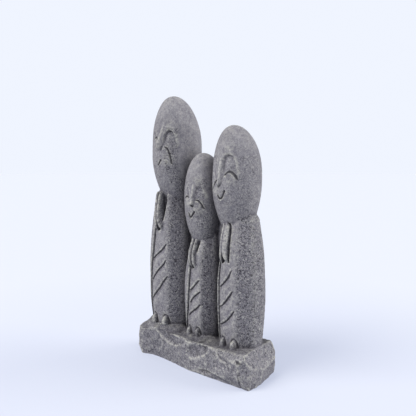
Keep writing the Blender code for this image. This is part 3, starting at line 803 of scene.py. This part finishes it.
def carve_rock(points, facing):
    """Marks of the rock at points in millimetres."""
    x, y, z = points.T
    marks = Marks(len(points))
    for place, depth, open_by in rock_blows():
        away = ((points - np.array(place)) ** 2).sum(1)
        marks.cut = np.maximum(marks.cut, depth - away / (2 * open_by))
    front = ease(-facing[:, 1], -0.1, 0.3) * (y < -20)
    # The large scoops on the front: middle, half-sizes, roll, depth and the side each runs out to
    scoops = (
        ((-60, 62), (40, 17), -16, 8.0, 75),
        ((29, 49), (36, 14), 22, 9.0, 165),
        ((12, 66), (26, 5), 4, 4.5, 100),
        ((42, 66), (20, 6), 12, 4.0, 300),
        ((102, 55), (17, 8), -20, 4.0, 60),
        ((76, 6), (46, 8), -3, 5.0, 270),
        ((-100, 30), (20, 10), 24, 2.4, 180),
        ((66, 30), (22, 12), 70, 2.2, 0),
    )
    for middle, half, roll, depth, open_side in scoops:
        scoop, rim = dish(x, z, middle, half, roll, depth, open_side)
        marks.cut += front * scoop
        # Highlights painted pale on the crisp rims
        marks.paint_highlight(front * rim * min(depth / 5, 1))
    # A sharp nick and a crack by the right front corner
    edge = np.hypot((x - 143) / 7, (z - 54 + 0.25 * (x - 143)) / 2.6)
    nick = np.clip(1.2 - edge, 0, 1) * (y < -30)
    marks.cut += 5.0 * nick
    # Shade painted dark in the nick
    marks.paint_shade(np.clip(2 * nick, 0, 1))
    gap, _ = path_distance(x, z, ((146, 33), (144, 26), (146, 17), (142, 9), (143, -2)))
    crack = vee(gap, 2.6) * (y < -36)
    marks.cut += 2.2 * crack
    # Shade painted dark in the crack
    marks.paint_shade(0.9 * crack)
    # Less is lost at the ends
    marks.cut *= 1 - 0.85 * ease(np.abs(x), 125, 152)
    return marks


def uneven(points, scale, seed):
    """Soft even noise from -1 to 1 at each point, lumps about scale metres across."""
    offset = Vector((seed * 7.31, seed * 3.17, seed * 5.03))
    return np.array([noise.noise(Vector(point) / scale + offset) for point in points.tolist()])


def coordinates(mesh):
    points = np.empty(len(mesh.vertices) * 3)
    mesh.vertices.foreach_get("co", points)
    return points.reshape(-1, 3)


def set_coordinates(mesh, points):
    mesh.vertices.foreach_set("co", points.ravel())
    mesh.update()


def facing_of(mesh):
    normals = np.empty(len(mesh.vertices) * 3)
    mesh.vertex_normals.foreach_get("vector", normals)
    return normals.reshape(-1, 3)


def smoothed(values, pairs, rounds, count):
    """Values on the mesh points, averaged again and again with their neighbours."""
    share = np.bincount(pairs.ravel(), minlength=count).astype(float)
    for _ in range(rounds):
        total = np.zeros_like(values)
        for axis in range(values.shape[1]):
            total[:, axis] = np.bincount(pairs[:, 0], values[pairs[:, 1], axis], count)
            total[:, axis] += np.bincount(pairs[:, 1], values[pairs[:, 0], axis], count)
        values = 0.5 * values + 0.5 * total / share[:, None]
    return values


def edge_pairs(mesh):
    pairs = np.empty(len(mesh.edges) * 2, int)
    mesh.edges.foreach_get("vertices", pairs)
    return pairs.reshape(-1, 2)


def write_attribute(mesh, name, values):
    attribute = mesh.attributes.get(name) or mesh.attributes.new(name, "FLOAT", "POINT")
    attribute.data.foreach_set("value", np.asarray(values, dtype=np.float32))


def occlusion(statue):
    """How shut in each point is by the stone around it, from 0 in the open to 1. The stone's colour
    is painted darker by it as shade.
    """
    mesh = statue.data
    points, normals = coordinates(mesh), facing_of(mesh)
    tree = BVHTree.FromPolygons(
        [Vector(point) for point in points], [tuple(face.vertices) for face in mesh.polygons]
    )
    dice = random.Random(4)
    rays = []
    for _ in range(OCCLUSION_RAYS):
        rays.append(Vector([dice.gauss(0, 1) for _ in range(3)]).normalized())
    picked = range(0, len(points), 17)
    finder = KDTree(len(picked))
    shut = []
    for index, vertex in enumerate(picked):
        facing = Vector(normals[vertex])
        start = Vector(points[vertex]) + facing * 0.0015
        blocked = 0
        for ray in rays:
            aim = (ray + facing * 1.05).normalized()
            blocked += tree.ray_cast(start, aim, OCCLUSION_REACH)[0] is not None
        shut.append(blocked / len(rays))
        finder.insert(start, index)
    finder.balance()
    values = np.empty(len(points))
    for index, point in enumerate(points.tolist()):
        near = finder.find_n(point, 3)
        values[index] = sum(shut[found[1]] for found in near) / 3
    return values


def out_from(figure, x, y):
    """How far each point lies from the middle of a robe, 1 being about its edge."""
    out = np.hypot((x - figure.x) / figure.robe_width, (y - FIGURE_Y) / figure.robe_depth)
    return 2 * out


def carve_figure(figure, points, before, normals, marks):
    """Carves the face and the robe's front of one figure."""
    x, y, z = before
    centre = head_centre(figure)
    head = (np.abs(x - centre.x) < 0.5 * figure.head_width) & (y < centre.y)
    head &= (z > up(figure, NECK + 0.005)) & (normals[:, 1] < -0.2)
    face = carve_face(figure, (x[head] - centre.x) * 1000, (z[head] - centre.z) * 1000)
    points[head, 1] += face.cut / 1000 * ease(-normals[head, 1], 0.2, 0.45)
    marks.take(head, face)
    robe = (np.abs(x - figure.x) < 0.5 * figure.robe_width) & (y < FIGURE_Y)
    robe &= (z < up(figure, NECK + 0.02)) & (z > ROCK_HEIGHT - 0.001) & (normals[:, 1] < -0.1)
    robe &= ~head
    cloth = carve_robe(figure, (x[robe] - figure.x) * 1000, z[robe] * 1000)
    points[robe, 1] += cloth.cut / 1000 * ease(-normals[robe, 1], 0.1, 0.4)
    marks.take(robe, cloth)


def roughen_figure(figure, before, normals, rough):
    """Faces and front panels are rubbed smoother than the sides."""
    x, _, z = before
    above = z > ROCK_HEIGHT + 0.004
    about = np.abs(x - figure.x) < 0.55 * figure.robe_width
    front = about & (normals[:, 1] < -0.80) & above
    rough[front] = 0.5
    centre = head_centre(figure)
    on_head = (np.abs(x - centre.x) < 0.55 * figure.head_width) & (z > up(figure, 0.60))
    rough[about & ~on_head & ~front & above] = 1.0
    brow = on_head & (z > up(figure, 0.86))
    rough[brow] = 0.30
    rough[on_head & (normals[:, 0] > 0.35) & ~brow] = figure.side_rough


def flake_rock(points, before, normals, pairs, marks, rough):
    """Strikes flakes off the rock, leaves it lumpy and paints shade on its upper side round the
    robes.
    """
    x, y, z = before
    rock = z < ROCK_HEIGHT + 0.016
    on_rock = rock.copy()
    for figure in FIGURES:
        on_rock &= ~((out_from(figure, x, y) < 1.0) & (z > ROCK_HEIGHT - 0.004))
    share = smoothed(on_rock[:, None].astype(float), pairs, 3, len(points))[rock, 0]
    flakes = carve_rock(points[rock] * 1000, normals[rock])
    points[rock] -= normals[rock] * (flakes.cut / 1000 * share)[:, None]
    marks.take(rock, flakes, share)
    lumps = uneven(points[rock], 0.026, 3) * 0.0012 + uneven(points[rock], 0.011, 4) * 0.0009
    lumps += uneven(points[rock], 0.0055, 6) * 0.0005
    points[rock] += normals[rock] * (lumps * share)[:, None]
    rough[on_rock] = 0.8
    # Shade painted dark on the rock's upper side round each robe
    for figure in FIGURES:
        lying = on_rock * ease(normals[:, 2], 0.45, 0.85)
        lying *= 1 - ease(out_from(figure, x, y), 1.15, 1.7)
        marks.paint_shade(0.58 * lying)


def note_wear_and_shade(statue, points, pairs, marks):
    """Keeps pale wear on raised edges with the painted highlights, and the painted shade of hollows,
    cuts and sheltered places, for the stone's colour.
    """
    mesh = statue.data
    normals = facing_of(mesh)
    near = smoothed(points, pairs, 6, len(points))
    wide = smoothed(near, pairs, 40, len(points))
    small = ((points - near) * normals).sum(1)
    large = ((points - wide) * normals).sum(1)
    # Raised edges keep pale wear. Hollows get shade painted dark.
    raised = np.clip((small * 2.5 + large * 0.8) / 0.0012, 0, 1)
    hollow_shade = np.clip(-(small * 1.5 + large * 0.9) / 0.0022, 0, 1)
    write_attribute(mesh, "wear_and_highlight", np.maximum(raised, marks.pale))
    # Painted shade where the stone around shuts a point in
    write_attribute(mesh, "occlusion_shade", occlusion(statue))
    write_attribute(mesh, "deep", np.maximum(marks.painted_shade, hollow_shade))


def carve_statue(statue):
    """Carves the figures and the rock, and leaves the chisel's pitting on the skin."""
    mesh = statue.data
    points = coordinates(mesh)
    normals = facing_of(mesh)
    count = len(points)
    before = points.T.copy()
    marks = Marks(count)
    rough = np.full(count, 0.6)
    for figure in FIGURES:
        carve_figure(figure, points, before, normals, marks)
        roughen_figure(figure, before, normals, rough)
    pairs = edge_pairs(mesh)
    flake_rock(points, before, normals, pairs, marks, rough)
    rough = smoothed(rough[:, None], pairs, 12, count)[:, 0]
    wobble = uneven(points, 0.045, 5) * 0.0007
    points += normals * wobble[:, None]
    set_coordinates(mesh, points)
    note_wear_and_shade(statue, points, pairs, marks)
    write_attribute(mesh, "rough", rough)
    pits = uneven(points, 0.0046, 1) + 0.6 * uneven(points, 0.0085, 2)
    depth = 0.00044 * rough * np.clip(pits + 0.15, -0.6, 1.2)
    points -= facing_of(mesh) * depth[:, None]
    set_coordinates(mesh, points)


def finish_statue(statue):
    """Thins the skin, cuts the underside flat and sets it into the solid's box."""
    nothing_selected()
    statue.select_set(True)
    bpy.context.view_layer.objects.active = statue
    faces = sum(len(face.vertices) - 2 for face in statue.data.polygons)
    thin = statue.modifiers.new("thin", "DECIMATE")
    thin.ratio = min(1.0, TRIANGLES / faces)
    apply_all(statue)
    bpy.ops.object.mode_set(mode="EDIT")
    bpy.ops.mesh.select_all(action="SELECT")
    bpy.ops.mesh.bisect(plane_co=(0, 0, 0), plane_no=(0, 0, -1), use_fill=True, clear_outer=True)
    bpy.ops.mesh.select_all(action="SELECT")
    bpy.ops.mesh.normals_make_consistent(inside=False)
    bpy.ops.mesh.select_all(action="DESELECT")
    bpy.ops.object.mode_set(mode="OBJECT")
    points = coordinates(statue.data)
    low, high = points.min(0), points.max(0)
    want_low, want_high = np.array(cad_box[0]), np.array(cad_box[1])
    scale = np.minimum(1.0, (want_high - want_low) / (high - low))
    points = (points - (low + high) / 2) * scale + (want_low + want_high) / 2
    points[:, 2] += want_low[2] - points[:, 2].min()
    set_coordinates(statue.data, points)
    bpy.ops.object.shade_smooth_by_angle(angle=math.radians(60))


# finish of the stone

def node(tree, kind, **values):
    made = tree.nodes.new(kind)
    for key, value in values.items():
        if key in made.inputs:
            made.inputs[key].default_value = value
        else:
            setattr(made, key, value)
    return made


def weathered_stone():
    """Grey stone with cloudy colour, pits between raised grains, pale worn edges with painted
    highlights, and shade painted dark in hollows, cuts and sheltered places.
    """
    stone = bpy.data.materials.new("weathered grey stone")
    stone.use_nodes = True
    tree = stone.node_tree
    shader = tree.nodes["Principled BSDF"]
    shader.inputs["Roughness"].default_value = 0.88
    shader.inputs["Specular IOR Level"].default_value = 0.25
    place = node(tree, "ShaderNodeTexCoord").outputs["Object"]

    def feed(value, socket):
        if isinstance(value, float):
            socket.default_value = value
        elif isinstance(value, tuple):
            socket.default_value = (*value, 1)
        else:
            tree.links.new(value, socket)

    def noise_of(scale, detail, rough, distortion=0.0):
        made = node(
            tree, "ShaderNodeTexNoise",
            Scale=scale, Detail=detail, Roughness=rough, Distortion=distortion,
        )
        feed(place, made.inputs["Vector"])
        return made.outputs["Fac"]

    def ramp(source, *stops):
        made = node(tree, "ShaderNodeValToRGB")
        feed(source, made.inputs["Fac"])
        marks = made.color_ramp.elements
        while len(marks) < len(stops):
            marks.new(0.5)
        for mark, (position, colour) in zip(marks, stops):
            mark.position = position
            mark.color = (*colour, 1)
        return made.outputs["Color"]

    def blend(kind, amount, first, second):
        made = node(tree, "ShaderNodeMix", data_type="RGBA", blend_type=kind)
        feed(amount, made.inputs[0])
        feed(first, made.inputs[6])
        feed(second, made.inputs[7])
        return made.outputs[2]

    def maths(operation, first, second):
        made = node(tree, "ShaderNodeMath", operation=operation)
        feed(first, made.inputs[0])
        feed(second, made.inputs[1])
        return made.outputs[0]

    def attribute(name):
        return node(tree, "ShaderNodeAttribute", attribute_name=name).outputs["Fac"]

    cloud = ramp(noise_of(14, 3, 0.55), (0.32, (0.138, 0.132, 0.149)), (0.68, (0.205, 0.198, 0.214)))
    patch = ramp(
        noise_of(85, 4, 0.65),
        (0.32, (0.28, 0.27, 0.31)), (0.50, (0.5, 0.5, 0.5)), (0.68, (0.74, 0.73, 0.68)),
    )
    colour = blend("OVERLAY", 0.7, cloud, patch)
    # Pits between raised grains, stronger on the rougher sides
    rough = attribute("rough")
    grain = noise_of(262, 3, 0.62, 1.5)
    pits = ramp(
        grain,
        (0.38, (0.014, 0.012, 0.016)), (0.47, (0.118, 0.112, 0.130)),
        (0.56, (0.186, 0.180, 0.192)), (0.69, (0.36, 0.35, 0.32)),
    )
    colour = blend("MIX", maths("MULTIPLY", rough, 0.95), colour, pits)
    speck = ramp(
        noise_of(520, 2, 0.6),
        (0.36, (0.28, 0.28, 0.30)), (0.50, (0.5, 0.5, 0.5)), (0.64, (0.70, 0.69, 0.65)),
    )
    colour = blend("OVERLAY", 0.6, colour, speck)
    # Pale wear on raised edges, with highlights painted pale on rims, cheeks, nose, lips and brow
    spotty = ramp(noise_of(190, 3, 0.6), (0.42, (0.15, 0.15, 0.15)), (0.58, (1, 1, 1)))
    wear_and_highlight = maths("MULTIPLY", attribute("wear_and_highlight"), spotty)
    colour = blend("MIX", maths("MULTIPLY", wear_and_highlight, 0.70), colour, (0.42, 0.41, 0.36))
    # Painted shade where the stone around shuts a point in
    occlusion_shade = maths("POWER", attribute("occlusion_shade"), 1.25)
    colour = blend("MIX", maths("MULTIPLY", occlusion_shade, 0.98), colour, (0.035, 0.032, 0.038))
    # Shade painted dark in the carved lines, creases and hollows, and on the rock round the robes
    deep = maths("MULTIPLY", attribute("deep"), 0.86)
    colour = blend("MIX", deep, colour, (0.024, 0.022, 0.026))
    feed(colour, shader.inputs["Base Color"])
    fine = maths("MULTIPLY", noise_of(520, 2, 0.5), 0.25)
    bump = node(tree, "ShaderNodeBump", Strength=0.8, Distance=0.0018)
    feed(maths("ADD", maths("MULTIPLY", grain, rough), fine), bump.inputs["Height"])
    feed(bump.outputs["Normal"], shader.inputs["Normal"])
    return stone


# studio

def studio_floor():
    """A wide pale floor that runs on far past the statue, glowing so that shadows stay soft."""
    nothing_selected()
    bpy.ops.mesh.primitive_circle_add(vertices=64, radius=FLOOR_RADIUS, fill_type="NGON")
    floor = bpy.context.active_object
    floor.name = "studio_floor"
    paint = bpy.data.materials.new("pale studio paint")
    paint.use_nodes = True
    tree = paint.node_tree
    shader = tree.nodes["Principled BSDF"]
    shader.inputs["Base Color"].default_value = FLOOR_PAINT
    shader.inputs["Emission Strength"].default_value = 1.0
    shader.inputs["Roughness"].default_value = 0.95
    shader.inputs["Specular IOR Level"].default_value = 0.0
    # The glow changes with the distance from the statue
    place = node(tree, "ShaderNodeTexCoord").outputs["Object"]
    reach = node(tree, "ShaderNodeVectorMath", operation="LENGTH")
    tree.links.new(place, reach.inputs[0])
    fade = node(tree, "ShaderNodeValToRGB")
    tree.links.new(reach.outputs["Value"], fade.inputs["Fac"])
    near, far = fade.color_ramp.elements
    near.position, near.color = 0.45, FLOOR_GLOW
    far.position, far.color = 1.0, FAR_GLOW
    tree.links.new(fade.outputs["Color"], shader.inputs["Emission Color"])
    floor.data.materials.append(paint)


def studio_light():
    """Even pale light from all round, a wide soft one from the front and one from the side."""
    world = bpy.context.scene.world or bpy.data.worlds.new("studio")
    bpy.context.scene.world = world
    world.use_nodes = True
    sky = world.node_tree.nodes["Background"]
    sky.inputs["Color"].default_value = SKY
    sky.inputs["Strength"].default_value = 1.0
    for name, power, angle, place in LAMPS:
        lamp = bpy.data.lights.new(name, "SUN")
        lamp.energy = power
        lamp.angle = math.radians(angle)
        lamp.color = LAMP_COLOUR
        holder = bpy.data.objects.new(name, lamp)
        bpy.context.scene.collection.objects.link(holder)
        holder.location = place
        holder.rotation_euler = (-holder.location).to_track_quat("-Z", "Y").to_euler()
    bpy.context.scene.view_settings.view_transform = "Standard"


def camera():
    """Looks from the front and the statue's own left, a little above it."""
    eye = bpy.data.cameras.new("camera")
    eye.sensor_width = SENSOR_WIDTH
    eye.lens = FOCAL_LENGTH
    holder = bpy.data.objects.new("camera", eye)
    bpy.context.scene.collection.objects.link(holder)
    holder.location = CAMERA_PLACE
    holder.rotation_euler = [math.radians(turn) for turn in CAMERA_TURN]
    bpy.context.scene.camera = holder


camera()
studio_floor()
studio_light()
statue = blank_statue()
carve_statue(statue)
finish_statue(statue)
statue.data.materials.clear()
statue.data.materials.append(weathered_stone())
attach(statue, "root")
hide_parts("three_jizo_on_rock")
